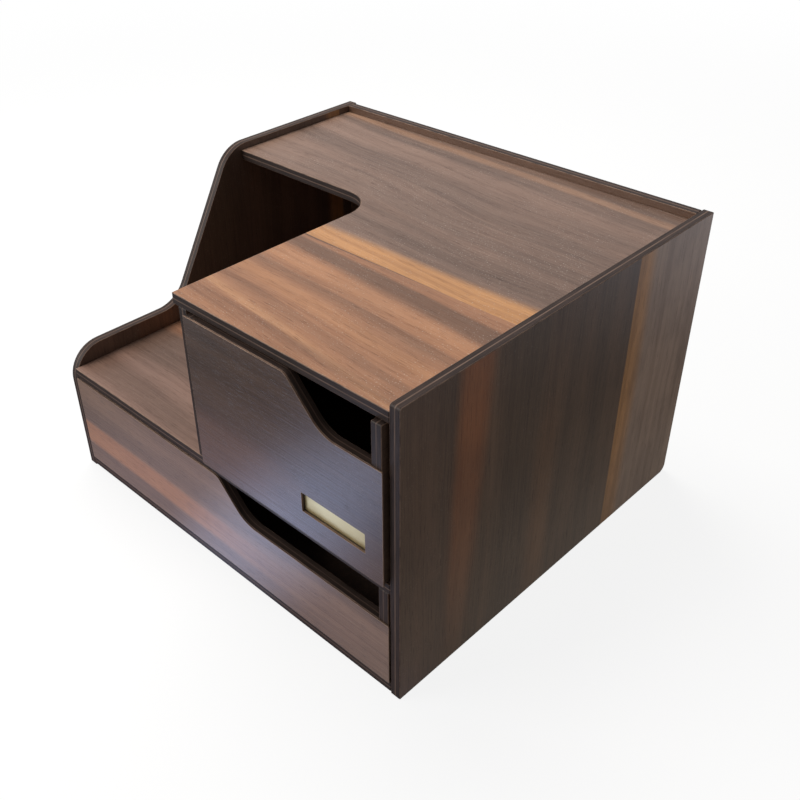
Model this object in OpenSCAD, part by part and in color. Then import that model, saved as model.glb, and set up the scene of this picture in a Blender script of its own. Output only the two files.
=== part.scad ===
// Desk organizer: a veneered board case with an open cubby on the left, a shallow tray on top
// and two drawers with finger cut-outs. All sizes are in millimetres. X runs along the front,
// Y from front to back and Z up. The origin is on the desk, at the middle of the footprint.

/* [Case] */
// Outer width over the two side panels
case_w = 330; // [275:1:400]
// Depth of the side panels
case_d = 295; // [245:1:360]
// Height of the side panels
case_h = 211.5; // [176:0.5:256]
// Thickness of every veneered board
board_t = 7.2; // [6:0.1:9]
// Height of the bottom panel's underside above the desk
bottom_lift = 1.4; // [0.6:0.1:6]
// Height of the shelf's upper face above the desk
shelf_z = 89.8; // [74:0.1:108]
// Height of the rim that the sides and the back form around the top panel
tray_rim = 5; // [3:0.1:12]
// Distance of the back panel in from the rear edges of the sides
back_inset = 2.2; // [0:0.1:8]
// Depth of the glue grooves that hold the ends of the boards
groove_depth = 2.4; // [1:0.1:3]
// Distance that the grooves stop short of the front edges
groove_stop = 10; // [6:1:30]
// Radius of the upper front corner of the right side
right_front_r = 2; // [0.5:0.5:12]
// Radius of the lower rear corners of both sides
rear_foot_r = 6; // [1:0.5:20]

/* [Cubby] */
// Clear width between the left side and the divider
cubby_w = 147.6; // [120:0.1:180]
// Distance that the top panel overhangs the divider's left face
top_overhang = 5.1; // [0:0.1:12]
// Depth of the notch in the top panel above the cubby
notch_d = 170.5; // [130:0.5:210]
// Radius of the inner corner of the notch
notch_r = 25; // [5:1:50]
// Height of the left side's low front part above the shelf
cubby_lip = 13.2; // [8:0.1:20]
// Radius of the front corner of the low part
lip_front_r = 25; // [5:1:35]
// Distance from the front edge to where the slope meets the left side's top edge
step_y = 160; // [150:1:200]
// Angle of the slope above level
step_angle = 60; // [55:1:80]
// Radius of both corners of the slope
step_r = 28; // [8:1:32]

/* [Drawers] */
// Thickness of the walnut sheet that faces each drawer
face_t = 1; // [0.6:0.1:2]
// Distance that a drawer face reaches past its side walls
face_overhang = 1.2; // [0.4:0.1:2]
// Gap under each drawer
seat_gap = 0.35; // [0.2:0.05:1]
// Gap at each end of the upper drawer's face
upper_side_gap = 1.4; // [0.4:0.1:3]
// Gap above the upper drawer's face
upper_top_gap = 1.1; // [0.3:0.1:3]
// Gap at each end of the lower drawer's face
lower_side_gap = 0.6; // [0.4:0.1:3]
// Gap above the lower drawer's face
lower_top_gap = 0.4; // [0.3:0.1:3]
// Gap behind each drawer when its face is flush with the front
drawer_back_gap = 2; // [1:0.5:10]
// Distance that the upper drawer stands open at rest
upper_ajar = 3.8; // [0:0.1:10]
// Distance that the lower drawer stands open at rest
lower_ajar = 0.9; // [0:0.1:10]
// Thickness of the drawer bottoms
drawer_bottom_t = 3; // [2:0.1:4]
// Height of the drawer bottoms above the lower edges of the walls
drawer_bottom_lift = 3; // [1:0.1:8]
// Depth of the grooves that hold the drawer bottoms
drawer_groove = 2.5; // [1:0.1:3.5]

/* [Finger cut-outs] */
// Length of the upper cut-out, from the face's right end to its sharp upper corner
upper_cut_run = 71; // [50:0.5:100]
// Depth of the upper cut-out
upper_cut_depth = 28; // [15:0.5:45]
// Length of the lower cut-out
lower_cut_run = 150; // [80:0.5:220]
// Depth of the lower cut-out
lower_cut_depth = 25; // [15:0.5:45]
// Angle of the cut-outs' slopes below level
cut_angle = 46; // [35:1:70]
// Radius where the slope leaves the upper edge
cut_top_r = 8; // [2:1:14]
// Radius where the slope meets the cut-out's floor
cut_floor_r = 24; // [6:1:34]

/* [Label plate] */
// Width of the window in the upper drawer's face
label_w = 50; // [30:0.5:60]
// Height of the window
label_h = 13.7; // [8:0.1:25]
// Distance from the window to the face's right end
label_right = 13.5; // [10:0.5:30]
// Distance from the window to the face's lower edge
label_up = 16.8; // [8:0.1:40]
// Depth of the plate's front behind the face
label_recess = 2.2; // [1:0.1:3]
// Thickness of the brass plate
label_t = 0.8; // [0.5:0.1:1.5]

/* [Hidden] */

ARC_STEPS = 16; // stretches in the arc of a rounded corner
SQUARE_CORNER = 90;
HALF_TURN = 180;
THROUGH = 1; // how far a cutting shape runs past what it cuts

WALNUT = [0.40, 0.29, 0.22];
WALNUT_LIGHT = [0.52, 0.37, 0.27];
WALNUT_DARK = [0.27, 0.21, 0.18];
BRASS = [0.80, 0.66, 0.42];

// Case: the faces that more than one piece shares
inner_left = board_t;
inner_right = case_w - board_t;
inner_w = inner_right - inner_left;
back_front_y = case_d - back_inset - board_t;
floor_z = bottom_lift + board_t;
shelf_under_z = shelf_z - board_t;
top_z = case_h - tray_rim;
top_under_z = top_z - board_t;
divider_x = inner_left + cubby_w;
notch_w = cubby_w - top_overhang;
lip_z = shelf_z + cubby_lip;

// Drawers: [left, right, lower, upper] limits of each face, and how far it stands open
upper_face = [
    divider_x + board_t + upper_side_gap, inner_right - upper_side_gap,
    shelf_z + seat_gap, top_under_z - upper_top_gap
];
lower_face = [
    inner_left + lower_side_gap, inner_right - lower_side_gap,
    floor_z + seat_gap, shelf_under_z - lower_top_gap
];
drawer_d = back_front_y - drawer_back_gap;
rest_front_y = -max(upper_ajar, lower_ajar);

function left_of(face) = face[0];
function right_of(face) = face[1];
function lower_of(face) = face[2];
function upper_of(face) = face[3];
function width_of(face) = right_of(face) - left_of(face);
function height_of(face) = upper_of(face) - lower_of(face);
function walls_left(face) = left_of(face) + face_overhang;
function walls_right(face) = right_of(face) - face_overhang;
function box_left(face) = walls_left(face) + board_t;
function box_right(face) = walls_right(face) - board_t;

// ---- Shared shapes ----

// Puts the case's front left foot so that the origin is at the middle of the footprint
module in_frame() {
    translate([-case_w / 2, -(case_d + rest_front_y) / 2, 0])
        children();
}

// Block between two opposite corners
module block(low, high) {
    translate(low)
        cube(high - low);
}

function xy(corner) = [corner[0], corner[1]];
function unit(v) = v / norm(v);

// Points of the arc of radius r that rounds the corner at, between its two neighbours
function corner_arc(before, at, after, r) =
    let(
        a = unit(before - at),
        b = unit(after - at),
        half = acos(a * b) / 2,
        centre = at + r / sin(half) * unit(a + b),
        start = at + r / tan(half) * a - centre,
        end = at + r / tan(half) * b - centre,
        sweep = HALF_TURN - 2 * half
    )
    [
        for (i = [0:ARC_STEPS])
            let(angle = sweep * i / ARC_STEPS)
                centre + (start * sin(sweep - angle) + end * sin(angle)) / sin(sweep)
    ];

// Outline through corners given as [x, y, radius], with each arc worked out. Radius 0 is sharp.
function rounded(corners) =
    let(n = len(corners))
    [
        for (i = [0:n - 1])
            let(c = corners[i])
                each c[2] == 0
                    ? [xy(c)]
                    : corner_arc(xy(corners[(i + n - 1) % n]), xy(c), xy(corners[(i + 1) % n]), c[2])
    ];

// Stands an outline drawn with Y to the right and Z up on edge, as a board from x to x + board_t
module board_across_x(x) {
    translate([x, 0, 0])
        rotate([SQUARE_CORNER, 0, SQUARE_CORNER])
            linear_extrude(board_t)
                children();
}

// Stands an outline drawn with X to the right and Z up on edge, from y to y + t
module board_across_y(y, t) {
    translate([0, y + t, 0])
        rotate([SQUARE_CORNER, 0, 0])
            linear_extrude(t)
                children();
}

// Level board between the sides, whose ends enter the stopped grooves
module housed_board(z) {
    block([inner_left, 0, z], [inner_right, back_front_y, z + board_t]);
    block(
        [inner_left - groove_depth, groove_stop, z],
        [inner_right + groove_depth, back_front_y, z + board_t]
    );
}

// Upright board of the divider, whose upper and lower edges enter the stopped grooves
module divider_board() {
    block([divider_x, 0, shelf_z], [divider_x + board_t, back_front_y, top_under_z]);
    block(
        [divider_x, groove_stop, shelf_z - groove_depth],
        [divider_x + board_t, back_front_y, top_under_z + groove_depth]
    );
}

// Top board with the notch above the cubby cut out of its front left
module top_board() {
    difference() {
        housed_board(top_under_z);
        translate([0, 0, top_under_z - THROUGH])
            linear_extrude(board_t + 2 * THROUGH)
                notch_outline();
    }
}

// Notch above the cubby, with its rounded inner corner
module notch_outline() {
    notch_x = inner_left + notch_w;
    polygon(rounded([
        [-THROUGH, -THROUGH, 0], [notch_x, -THROUGH, 0],
        [notch_x, notch_d, notch_r], [-THROUGH, notch_d, 0]
    ]));
}

// ---- Case ----

// Left side: a low front part, a slope with two arcs, and the full height behind it
module left_outline() {
    step_foot_y = step_y - (case_h - lip_z) / tan(step_angle);
    polygon(rounded([
        [0, 0, 0], [case_d, 0, rear_foot_r], [case_d, case_h, 0],
        [step_y, case_h, step_r], [step_foot_y, lip_z, step_r], [0, lip_z, lip_front_r]
    ]));
}

module right_outline() {
    polygon(rounded([
        [0, 0, 0], [case_d, 0, rear_foot_r], [case_d, case_h, 0], [0, case_h, right_front_r]
    ]));
}

module left_side_panel() {
    color(WALNUT)
        in_frame()
            difference() {
                board_across_x(0)
                    left_outline();
                housed_board(bottom_lift);
                housed_board(shelf_under_z);
                top_board();
            }
}

module right_side_panel() {
    color(WALNUT)
        in_frame()
            difference() {
                board_across_x(inner_right)
                    right_outline();
                housed_board(bottom_lift);
                housed_board(shelf_under_z);
                top_board();
            }
}

module back_panel() {
    color(WALNUT_DARK)
        in_frame()
            block([inner_left, back_front_y, bottom_lift], [inner_right, back_front_y + board_t, case_h]);
}

module bottom_panel() {
    color(WALNUT_DARK)
        in_frame()
            housed_board(bottom_lift);
}

module shelf() {
    color(WALNUT)
        in_frame()
            difference() {
                housed_board(shelf_under_z);
                divider_board();
            }
}

module divider() {
    color(WALNUT_DARK)
        in_frame()
            divider_board();
}

module top_panel() {
    color(WALNUT_LIGHT)
        in_frame()
            difference() {
                top_board();
                divider_board();
            }
}

// ---- Drawers ----

// Puts a drawer where it stands at rest
module at_rest(ajar) {
    in_frame()
        translate([0, -ajar, 0])
            children();
}

// Outline of a drawer's front from left to right, with the finger cut-out at its right end
module front_outline(face, left, right, cut_run, cut_depth) {
    corner_x = right_of(face) - cut_run;
    floor_x = corner_x + cut_depth / tan(cut_angle);
    cut_z = upper_of(face) - cut_depth;
    polygon(rounded([
        [left, lower_of(face), 0], [right, lower_of(face), 0],
        [right, cut_z, 0], [floor_x, cut_z, cut_floor_r],
        [corner_x, upper_of(face), cut_top_r], [left, upper_of(face), 0]
    ]));
}

// Bottom board, which enters the grooves of the front and of all three walls
module drawer_bottom_board(face) {
    z = lower_of(face) + drawer_bottom_lift;
    block(
        [box_left(face) - drawer_groove, board_t - drawer_groove, z],
        [box_right(face) + drawer_groove, drawer_d - board_t + drawer_groove, z + drawer_bottom_t]
    );
}

// Thin walnut sheet over the front board and the front ends of the walls
module face_sheet(face, cut_run, cut_depth) {
    board_across_y(0, face_t)
        front_outline(face, left_of(face), right_of(face), cut_run, cut_depth);
}

// Front board, between the side walls
module front_board(face, cut_run, cut_depth) {
    difference() {
        board_across_y(face_t, board_t - face_t)
            front_outline(face, box_left(face), box_right(face), cut_run, cut_depth);
        drawer_bottom_board(face);
    }
}

// Side wall whose left face is at x
module side_wall(face, x) {
    difference() {
        block([x, face_t, lower_of(face)], [x + board_t, drawer_d, upper_of(face)]);
        drawer_bottom_board(face);
    }
}

module back_wall(face) {
    difference() {
        block(
            [box_left(face), drawer_d - board_t, lower_of(face)],
            [box_right(face), drawer_d, upper_of(face)]
        );
        drawer_bottom_board(face);
    }
}

// Pocket for the label plate, from ahead of the face to the plate's back
module label_pocket(front_y, back_y) {
    x = right_of(upper_face) - label_right - label_w;
    z = lower_of(upper_face) + label_up;
    block([x, front_y, z], [x + label_w, back_y, z + label_h]);
}

module upper_drawer_face() {
    color(WALNUT)
        at_rest(upper_ajar)
            difference() {
                face_sheet(upper_face, upper_cut_run, upper_cut_depth);
                label_pocket(-THROUGH, label_recess + label_t);
            }
}

module upper_drawer_front() {
    color(WALNUT_DARK)
        at_rest(upper_ajar)
            difference() {
                front_board(upper_face, upper_cut_run, upper_cut_depth);
                label_pocket(-THROUGH, label_recess + label_t);
            }
}

module upper_drawer_left_wall() {
    color(WALNUT_DARK)
        at_rest(upper_ajar)
            side_wall(upper_face, walls_left(upper_face));
}

module upper_drawer_right_wall() {
    color(WALNUT_DARK)
        at_rest(upper_ajar)
            side_wall(upper_face, box_right(upper_face));
}

module upper_drawer_back_wall() {
    color(WALNUT_DARK)
        at_rest(upper_ajar)
            back_wall(upper_face);
}

module upper_drawer_bottom() {
    color(WALNUT_DARK)
        at_rest(upper_ajar)
            drawer_bottom_board(upper_face);
}

module label_plate() {
    color(BRASS)
        at_rest(upper_ajar)
            label_pocket(label_recess, label_recess + label_t);
}

module lower_drawer_face() {
    color(WALNUT)
        at_rest(lower_ajar)
            face_sheet(lower_face, lower_cut_run, lower_cut_depth);
}

module lower_drawer_front() {
    color(WALNUT_DARK)
        at_rest(lower_ajar)
            front_board(lower_face, lower_cut_run, lower_cut_depth);
}

module lower_drawer_left_wall() {
    color(WALNUT_DARK)
        at_rest(lower_ajar)
            side_wall(lower_face, walls_left(lower_face));
}

module lower_drawer_right_wall() {
    color(WALNUT_DARK)
        at_rest(lower_ajar)
            side_wall(lower_face, box_right(lower_face));
}

module lower_drawer_back_wall() {
    color(WALNUT_DARK)
        at_rest(lower_ajar)
            back_wall(lower_face);
}

module lower_drawer_bottom() {
    color(WALNUT_DARK)
        at_rest(lower_ajar)
            drawer_bottom_board(lower_face);
}

left_side_panel();
right_side_panel();
back_panel();
bottom_panel();
shelf();
divider();
top_panel();
upper_drawer_face();
upper_drawer_front();
upper_drawer_left_wall();
upper_drawer_right_wall();
upper_drawer_back_wall();
upper_drawer_bottom();
label_plate();
lower_drawer_face();
lower_drawer_front();
lower_drawer_left_wall();
lower_drawer_right_wall();
lower_drawer_back_wall();
lower_drawer_bottom();
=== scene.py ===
"""Looks of a walnut desk organizer: a veneered board case with an open cubby, and two drawers.

Every board is a numpy surface: a rounded outline carried through the board's thickness along a
profile whose two corners are eased arrises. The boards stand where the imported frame's nodes
stand, in metres, with X along the front, Y from front to back and Z up.
"""

from __future__ import annotations

import logging
import math
from dataclasses import dataclass
from dataclasses import field
from enum import Enum
from typing import Sequence

import bpy
import numpy as np
from mathutils import Matrix
from mathutils import Vector
from mathutils.geometry import tessellate_polygon


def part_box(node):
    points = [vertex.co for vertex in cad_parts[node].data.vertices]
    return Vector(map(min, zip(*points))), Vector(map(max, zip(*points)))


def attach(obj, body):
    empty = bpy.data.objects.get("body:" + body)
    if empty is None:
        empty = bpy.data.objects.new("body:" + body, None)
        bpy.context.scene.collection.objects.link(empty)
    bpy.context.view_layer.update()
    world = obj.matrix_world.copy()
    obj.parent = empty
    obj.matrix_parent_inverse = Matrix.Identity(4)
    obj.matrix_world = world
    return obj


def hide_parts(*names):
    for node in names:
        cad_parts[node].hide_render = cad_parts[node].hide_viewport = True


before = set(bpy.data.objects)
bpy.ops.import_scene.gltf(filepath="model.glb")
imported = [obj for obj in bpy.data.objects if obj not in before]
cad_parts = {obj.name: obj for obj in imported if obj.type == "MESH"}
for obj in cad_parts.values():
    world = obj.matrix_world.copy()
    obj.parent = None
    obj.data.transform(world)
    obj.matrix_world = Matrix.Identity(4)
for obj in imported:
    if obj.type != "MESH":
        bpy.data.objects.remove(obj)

LOG = logging.getLogger("desk_organizer")
ORIGIN = (0.0, 0.0, 0.0)
WHITE = (1.0, 1.0, 1.0)
CORNER_RADIUS = 0.0008
SLIVER_AREA = 1e-16
ARC_POINTS = 13
ARRIS_POINTS = 5
BOARD_ARRIS = 0.00045
SHEET_ARRIS = 0.00022
BOARD_SLOT = "walnut_board"
FACE_SLOT = "walnut_face"
THIN_SLOT = "thin_board"
BRASS_SLOT = "brass_plate"
EDGE_UV = "edge_run"
SHARE_ATTRIBUTE = "depth_share"

Colour = tuple[float, float, float]
Span = tuple[float, float]
Socket = bpy.types.NodeSocket
Material = bpy.types.Material


# Shapes


class Plane(Enum):
    """Which way a board lies: the two axes its outline is drawn along, then its thickness."""

    LEVEL = (0, 1, 2)
    SIDEWAYS = (1, 2, 0)
    FRONTAL = (0, 2, 1)

    @property
    def mirrored(self) -> bool:
        """True where the three axes, in this order, make a left-handed frame."""
        return self is Plane.FRONTAL


@dataclass(frozen=True)
class Corner:
    """A corner of an outline, with the radius that rounds it, in metres."""

    a: float
    b: float
    radius: float = CORNER_RADIUS


@dataclass(frozen=True)
class Outline:
    """A closed line in the plane, with the unit normal that points out of the wood."""

    points: np.ndarray
    normals: np.ndarray

    @classmethod
    def through(cls, corners: Sequence[Corner]) -> Outline:
        """Round the corners of a polygon and work out the normals.

        Each corner becomes an arc of its radius that touches both sides. The arc's direction
        from its centre turns evenly from the first touching point to the second, and the
        normal is that direction on a corner that stands out, and its opposite in a hollow one.

        Args:
            corners: The corners, anticlockwise round wood and clockwise round a hole.

        Returns:
            The rounded outline.
        """
        table = np.array([(c.a, c.b, c.radius) for c in corners], float)
        at, radius = table[:, :2], table[:, 2:]
        before = np.roll(at, 1, axis=0) - at
        after = np.roll(at, -1, axis=0) - at
        before /= np.linalg.norm(before, axis=1, keepdims=True)
        after /= np.linalg.norm(after, axis=1, keepdims=True)
        half = np.arccos(np.clip((before * after).sum(1, keepdims=True), -1, 1)) / 2
        bisector = before + after
        bisector /= np.linalg.norm(bisector, axis=1, keepdims=True)
        centre = at + bisector * radius / np.sin(half)
        first = (at + before * radius / np.tan(half) - centre) / radius
        last = (at + after * radius / np.tan(half) - centre) / radius
        sweep = (math.pi - 2 * half)[:, None, :]
        step = np.linspace(0, 1, ARC_POINTS)[None, :, None]
        turned = first[:, None, :] * np.sin((1 - step) * sweep) + last[:, None, :] * np.sin(step * sweep)
        turned /= np.sin(sweep)
        cross = after[:, 0] * before[:, 1] - after[:, 1] * before[:, 0]
        side = np.sign(cross)[:, None, None]
        points = centre[:, None, :] + radius[:, None, :] * turned
        return cls(points.reshape(-1, 2), (side * turned).reshape(-1, 2))

    @classmethod
    def rectangle(cls, a: Span, b: Span, radius: float = CORNER_RADIUS, hole: bool = False) -> Outline:
        """Outline of a rectangle between two limits on each axis, traced backwards round a hole."""
        corners = [Corner(a[i], b[j], radius) for i, j in ((0, 0), (1, 0), (1, 1), (0, 1))]
        return cls.through(corners[:1] + corners[:0:-1] if hole else corners)

    @property
    def run(self) -> np.ndarray:
        """Distance along the outline at each point, with the whole length at the end."""
        closed = np.vstack([self.points, self.points[:1]])
        return np.concatenate([[0.0], np.cumsum(np.linalg.norm(np.diff(closed, axis=0), axis=1))])


@dataclass(frozen=True)
class EdgeProfile:
    """The line from one face of a board over its edge: inset, depth, and the normal's two parts."""

    inset: np.ndarray
    depth: np.ndarray
    outward: np.ndarray
    upward: np.ndarray

    @classmethod
    def eased(cls, thickness: float, arris: float) -> EdgeProfile:
        """Edge with a quarter round on both arrises.

        On each arris the angle t runs from 0 to a quarter turn, the inset is r (1 - sin t), the
        depth is r (1 - cos t), and the normal turns from the face's own to straight outward.

        Args:
            thickness: Thickness of the board.
            arris: Radius of the quarter rounds.

        Returns:
            The profile, from the low face to the high one.
        """
        turn = np.linspace(0, math.pi / 2, ARRIS_POINTS)
        inset = arris * (1 - np.sin(turn))
        depth = arris * (1 - np.cos(turn))
        return cls(
            np.concatenate([inset, inset[::-1]]),
            np.concatenate([depth, thickness - depth[::-1]]),
            np.concatenate([np.sin(turn), np.sin(turn[::-1])]),
            np.concatenate([-np.cos(turn), np.cos(turn[::-1])]),
        )

    def sunk(self, depth: float) -> EdgeProfile:
        """The first arris of this profile, then a straight wall down to a depth."""
        first = slice(0, ARRIS_POINTS)
        return EdgeProfile(
            np.append(self.inset[first], 0.0),
            np.append(self.depth[first], depth),
            np.append(self.outward[first], 1.0),
            np.append(self.upward[first], 0.0),
        )


@dataclass(frozen=True)
class Pocket:
    """A hole in a board's low face. One without a depth goes right through."""

    outline: Outline
    depth: float | None = None


@dataclass
class Patches:
    """Faces gathered for one mesh, with a normal and a place in the edge map at every corner."""

    vertices: list[np.ndarray] = field(default_factory=list)
    shares: list[np.ndarray] = field(default_factory=list)
    faces: list[np.ndarray] = field(default_factory=list)
    normals: list[np.ndarray] = field(default_factory=list)
    places: list[np.ndarray] = field(default_factory=list)
    slots: list[np.ndarray] = field(default_factory=list)
    count: int = 0

    def add_points(self, points: np.ndarray, shares: np.ndarray) -> int:
        """Add points.

        Args:
            points: The points, one row each.
            shares: How far through the board each lies, from 0 to 1.

        Returns:
            The number of the first point.
        """
        start = self.count
        self.vertices.append(points)
        self.shares.append(shares)
        self.count += len(points)
        return start

    def add_faces(self, corners: np.ndarray, normals: np.ndarray, places: np.ndarray, slot: int) -> None:
        """Add faces of one size.

        Args:
            corners: Point numbers, one row a face.
            normals: The normal at each corner of each face.
            places: The place in the edge map at each corner of each face.
            slot: Number of the material slot.
        """
        self.faces.append(corners)
        self.normals.append(normals)
        self.places.append(places)
        self.slots.append(np.full(len(corners), slot, np.int32))


@dataclass
class Board:
    """A flat piece of wood or metal: an outline, a thickness, and any pockets."""

    name: str
    plane: Plane
    outline: Outline
    span: Span
    arris: float = BOARD_ARRIS
    pockets: tuple[Pocket, ...] = ()

    @property
    def thickness(self) -> float:
        """Distance between the two faces."""
        return self.span[1] - self.span[0]

    def build(self, face: Material, edge: Material) -> bpy.types.Object:
        """Make the board's mesh and object.

        Args:
            face: Material of the two broad faces.
            edge: Material of the edges and arrises.

        Returns:
            The new object, at the origin.
        """
        patches = Patches()
        profile = EdgeProfile.eased(self.thickness, self.arris)
        rings = [self._wall(patches, self.outline, profile)]
        floors = []
        for pocket in self.pockets:
            cut = profile if pocket.depth is None else profile.sunk(pocket.depth)
            ring = self._wall(patches, pocket.outline, cut)
            rings.append(ring if pocket.depth is None else (ring[0], None))
            if pocket.depth is not None:
                floors.append(ring[1])
        low = [ring[0] for ring in rings]
        high = [ring[1] for ring in rings if ring[1] is not None]
        self._cap(patches, low, -1.0)
        self._cap(patches, high, 1.0)
        for ring in floors:
            self._cap(patches, [ring], -1.0)
        return self._object(patches, face, edge)

    def _wall(
        self, patches: Patches, outline: Outline, profile: EdgeProfile
    ) -> tuple[np.ndarray, np.ndarray]:
        """Carry the edge profile along an outline, as one grid of points and quads.

        Args:
            patches: Where the points and faces go.
            outline: The line that the profile follows.
            profile: The line from one face to the other.

        Returns:
            The point numbers of the grid's first and last ring.
        """
        rows, columns = len(profile.inset), len(outline.points)
        flat = outline.points[None] - outline.normals[None] * profile.inset[:, None, None]
        depth = np.broadcast_to(profile.depth[:, None, None], (rows, columns, 1))
        points = np.concatenate([flat, self.span[0] + depth], axis=2)
        up = np.broadcast_to(profile.upward[:, None, None], (rows, columns, 1))
        normals = np.concatenate([outline.normals[None] * profile.outward[:, None, None], up], axis=2)
        share = np.repeat(profile.depth / self.thickness, columns)
        start = patches.add_points(points.reshape(-1, 3), share)
        number = start + np.arange(rows * columns).reshape(rows, columns)
        following = np.roll(number, -1, axis=1)
        quads = np.stack([number[:-1], following[:-1], following[1:], number[1:]], axis=-1)
        run = outline.run
        place = np.stack(np.broadcast_arrays(run[None, :], profile.depth[:, None]), axis=-1)
        here, ahead = place[:, :-1], place[:, 1:]
        places = np.stack([here[:-1], ahead[:-1], ahead[1:], here[1:]], axis=2)
        flat_normals = normals.reshape(-1, 3)
        quads = quads.reshape(-1, 4)
        patches.add_faces(quads, flat_normals[quads - start], places.reshape(-1, 4, 2), 1)
        return number[0], number[-1]

    def _cap(self, patches: Patches, rings: list[np.ndarray], facing: float) -> None:
        """Fill one face of the board between its rings with triangles.

        Args:
            patches: Where the faces go.
            rings: Point numbers of the outer ring, then of the rings round its holes.
            facing: 1 for the high face and -1 for the low one.
        """
        points = np.vstack(patches.vertices)
        numbers = np.concatenate(rings)
        lines = [[Vector((a, b, 0.0)) for a, b in points[ring, :2].tolist()] for ring in rings]
        triangles = np.array(tessellate_polygon(lines), int)
        corners = points[numbers, :2][triangles]
        one, two = corners[:, 1] - corners[:, 0], corners[:, 2] - corners[:, 0]
        area = one[:, 0] * two[:, 1] - one[:, 1] * two[:, 0]
        triangles = np.where((area * facing < 0)[:, None], triangles[:, ::-1], triangles)
        triangles = triangles[np.abs(area) > SLIVER_AREA]
        normals = np.zeros((len(triangles), 3, 3))
        normals[..., 2] = facing
        faces = numbers[triangles]
        patches.add_faces(faces, normals, points[faces][..., :2], 0)

    def _object(
        self, patches: Patches, face: Material, edge: Material
    ) -> bpy.types.Object:
        """Turn the gathered faces into a Blender object.

        Args:
            patches: The points and faces, in the board's own axes.
            face: Material of the two broad faces.
            edge: Material of the edges and arrises.

        Returns:
            The new object, at the origin.
        """
        order = np.argsort(self.plane.value)
        vertices = np.vstack(patches.vertices)[:, order]
        turn = slice(None, None, -1) if self.plane.mirrored else slice(None)
        faces = [row for group in patches.faces for row in group[:, turn].tolist()]
        normals = np.vstack([group[:, turn].reshape(-1, 3) for group in patches.normals])[:, order]
        places = np.vstack([group[:, turn].reshape(-1, 2) for group in patches.places])
        mesh = bpy.data.meshes.new(self.name)
        mesh.from_pydata(vertices.tolist(), [], faces)
        mesh.materials.append(face)
        mesh.materials.append(edge)
        mesh.polygons.foreach_set("material_index", np.concatenate(patches.slots))
        mesh.polygons.foreach_set("use_smooth", np.ones(len(mesh.polygons), bool))
        layer = mesh.uv_layers.new(name=EDGE_UV)
        layer.data.foreach_set("uv", places.astype(np.float32).ravel())
        share = mesh.attributes.new(SHARE_ATTRIBUTE, "FLOAT", "POINT")
        share.data.foreach_set("value", np.concatenate(patches.shares).astype(np.float32))
        mesh.update()
        mesh.normals_split_custom_set(normals.tolist())
        piece = bpy.data.objects.new(self.name, mesh)
        bpy.context.scene.collection.objects.link(piece)
        return piece


# Node building


def linear(red: int, green: int, blue: int) -> Colour:
    """Colour written in the usual 0 to 255 steps, as the shader's own linear values."""
    steps = (value / 255 for value in (red, green, blue))
    return tuple(v / 12.92 if v <= 0.04045 else ((v + 0.055) / 1.055) ** 2.4 for v in steps)


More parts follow.
